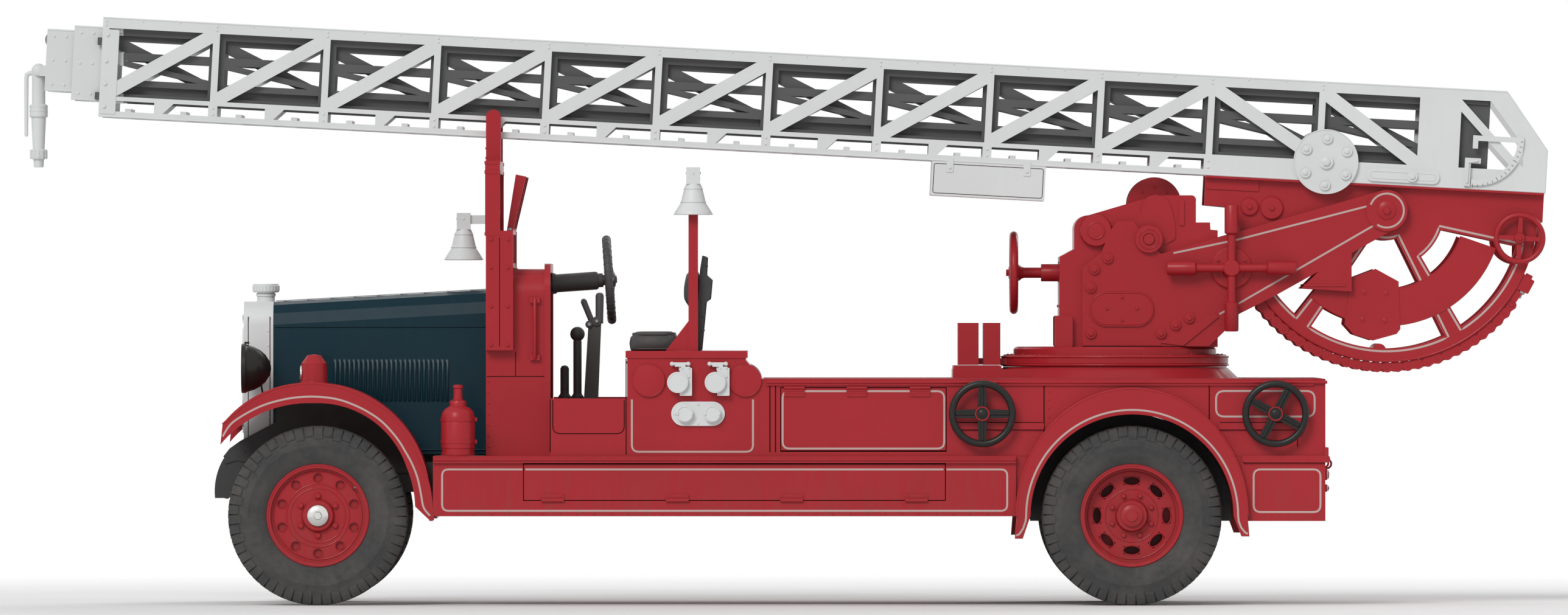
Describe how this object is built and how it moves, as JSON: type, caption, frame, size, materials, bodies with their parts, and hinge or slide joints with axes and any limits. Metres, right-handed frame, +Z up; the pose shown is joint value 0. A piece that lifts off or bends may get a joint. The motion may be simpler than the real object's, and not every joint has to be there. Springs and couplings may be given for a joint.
{
  "type": "turntable ladder fire engine",
  "caption": "Open-cab fire engine with a bonnet in front, a slewing turntable over the rear axle and a sliding lattice ladder with a water monitor at its head.",
  "frame": {"origin": "centre of the bounding box's bottom face, on the ground under the middle of the length", "axes": "+Z up, -X towards the front of the vehicle, +Y its right (driver's) side"},
  "size_m": [8.7027, 2.2806, 3.3503],
  "materials": {
    "red_paint": "gloss",
    "silver": "satin",
    "dark_metal": "satin",
    "blue_bonnet": "gloss",
    "black": "gloss",
    "tyre": "matt",
    "leather": "satin",
    "glass": "clear"
  },
  "bodies": {
    "chassis": {"chassis_frame": "dark_metal", "leaf_springs": "dark_metal", "front_axle": "dark_metal", "rear_axle": "dark_metal", "engine_block": "dark_metal", "radiator": "silver", "bonnet": "blue_bonnet", "scuttle": "red_paint", "windscreen_frame": "red_paint", "windscreen_glass": "glass", "ladder_rest": "red_paint", "front_wings": "red_paint", "rear_wings": "red_paint", "splash_plates": "dark_metal", "running_boards": "red_paint", "board_brackets": "dark_metal", "cab_floor": "red_paint", "seat_box": "red_paint", "seat_pads": "leather", "steering_column": "dark_metal", "hand_levers": "dark_metal", "headlamps": "black", "bells": "silver", "bell_post": "red_paint", "pump_fittings": "silver", "fire_extinguishers": "red_paint", "rear_body": "red_paint", "tail_lockers": "red_paint", "jack_handwheels": "black", "turntable_base": "red_paint"},
    "knuckle_left": {"knuckle_left": "dark_metal"},
    "knuckle_right": {"knuckle_right": "dark_metal"},
    "track_rod": {"track_rod": "dark_metal"},
    "steering_wheel": {"steering_wheel": "dark_metal"},
    "front_left_wheel": {"front_left_tyre": "tyre", "front_left_wheel": "red_paint"},
    "front_right_wheel": {"front_right_tyre": "tyre", "front_right_wheel": "red_paint"},
    "rear_left_wheels": {"rear_left_tyres": "tyre", "rear_left_wheel": "red_paint"},
    "rear_right_wheels": {"rear_right_tyres": "tyre", "rear_right_wheel": "red_paint"},
    "locker_flap_left": {"locker_flap_left": "red_paint"},
    "locker_flap_right": {"locker_flap_right": "red_paint"},
    "side_flap_left": {"side_flap_left": "red_paint"},
    "side_flap_right": {"side_flap_right": "red_paint"},
    "turntable": {"turntable": "red_paint", "winch_housing": "red_paint", "winch_drum": "red_paint", "pivot_arms": "red_paint", "hand_controls": "red_paint"},
    "ladder_base": {"ladder_base": "silver", "elevating_frame": "red_paint", "quadrant_chains": "red_paint", "ladder_handwheels": "red_paint", "ladder_fittings": "silver"},
    "ladder_middle": {"ladder_middle": "silver"},
    "ladder_top": {"ladder_top": "silver"},
    "monitor": {"monitor": "silver"}
  },
  "joints": [
    {"name": "steer_left", "type": "hinge", "parent": "chassis", "child": "knuckle_left", "pos_m": [-2.65, -0.78, 0.51], "axis": [0, 0, 1], "range_deg": [-35, 35]},
    {"name": "steer_right", "type": "hinge", "parent": "chassis", "child": "knuckle_right", "pos_m": [-2.65, 0.78, 0.51], "axis": [0, 0, 1], "range_deg": [-35, 35]},
    {"name": "track_rod_pivot", "type": "hinge", "parent": "knuckle_left", "child": "track_rod", "pos_m": [-2.51, -0.78, 0.412], "axis": [0, 0, 1], "range_deg": [-35, 35]},
    {"name": "steering_wheel_turn", "type": "hinge", "parent": "chassis", "child": "steering_wheel", "pos_m": [-1.532, 0.42, 1.815], "axis": [0.9976, 0, 0.0698], "range_deg": [-490, 490]},
    {"name": "front_left_roll", "type": "hinge", "parent": "knuckle_left", "child": "front_left_wheel", "pos_m": [-2.65, -0.88, 0.51], "axis": [0, 1, 0], "continuous": true},
    {"name": "front_right_roll", "type": "hinge", "parent": "knuckle_right", "child": "front_right_wheel", "pos_m": [-2.65, 0.88, 0.51], "axis": [0, 1, 0], "continuous": true},
    {"name": "rear_left_roll", "type": "hinge", "parent": "chassis", "child": "rear_left_wheels", "pos_m": [1.97, -0.925, 0.51], "axis": [0, 1, 0], "continuous": true},
    {"name": "rear_right_roll", "type": "hinge", "parent": "chassis", "child": "rear_right_wheels", "pos_m": [1.97, 0.925, 0.51], "axis": [0, 1, 0], "continuous": true},
    {"name": "locker_flap_left_hinge", "type": "hinge", "parent": "chassis", "child": "locker_flap_left", "pos_m": [-0.025, -1.0493, 1.237], "axis": [-1, 0, 0], "range_deg": [0, 100]},
    {"name": "locker_flap_right_hinge", "type": "hinge", "parent": "chassis", "child": "locker_flap_right", "pos_m": [-0.025, 1.0493, 1.237], "axis": [1, 0, 0], "range_deg": [0, 100]},
    {"name": "side_flap_left_hinge", "type": "hinge", "parent": "chassis", "child": "side_flap_left", "pos_m": [-1.484, -1.0693, 0.597], "axis": [1, 0, 0], "range_deg": [0, 110]},
    {"name": "side_flap_right_hinge", "type": "hinge", "parent": "chassis", "child": "side_flap_right", "pos_m": [-1.484, 1.0693, 0.597], "axis": [-1, 0, 0], "range_deg": [0, 110]},
    {"name": "slew", "type": "hinge", "parent": "chassis", "child": "turntable", "pos_m": [1.888, 0, 1.354], "axis": [0, 0, 1], "continuous": true},
    {"name": "elevation", "type": "hinge", "parent": "turntable", "child": "ladder_base", "pos_m": [3.432, 0, 2.245], "axis": [0, 1, 0], "range_deg": [0, 72]},
    {"name": "middle_extension", "type": "slide", "parent": "ladder_base", "child": "ladder_middle", "axis": [-0.9986, 0, 0.0529], "range_m": [0, 6.3]},
    {"name": "top_extension", "type": "slide", "parent": "ladder_middle", "child": "ladder_top", "axis": [-0.9986, 0, 0.0529], "range_m": [0, 6.3]},
    {"name": "monitor_pivot", "type": "hinge", "parent": "ladder_top", "child": "monitor", "pos_m": [-4.26737, 0, 3.0471], "axis": [0, 1, 0], "range_deg": [0, 110]}
  ],
  "couplings": [
    {"joint": "steer_right", "follows": "steer_left", "ratio": 1},
    {"joint": "track_rod_pivot", "follows": "steer_left", "ratio": -1},
    {"joint": "steering_wheel_turn", "follows": "steer_left", "ratio": 14},
    {"joint": "top_extension", "follows": "middle_extension", "ratio": 1}
  ]
}
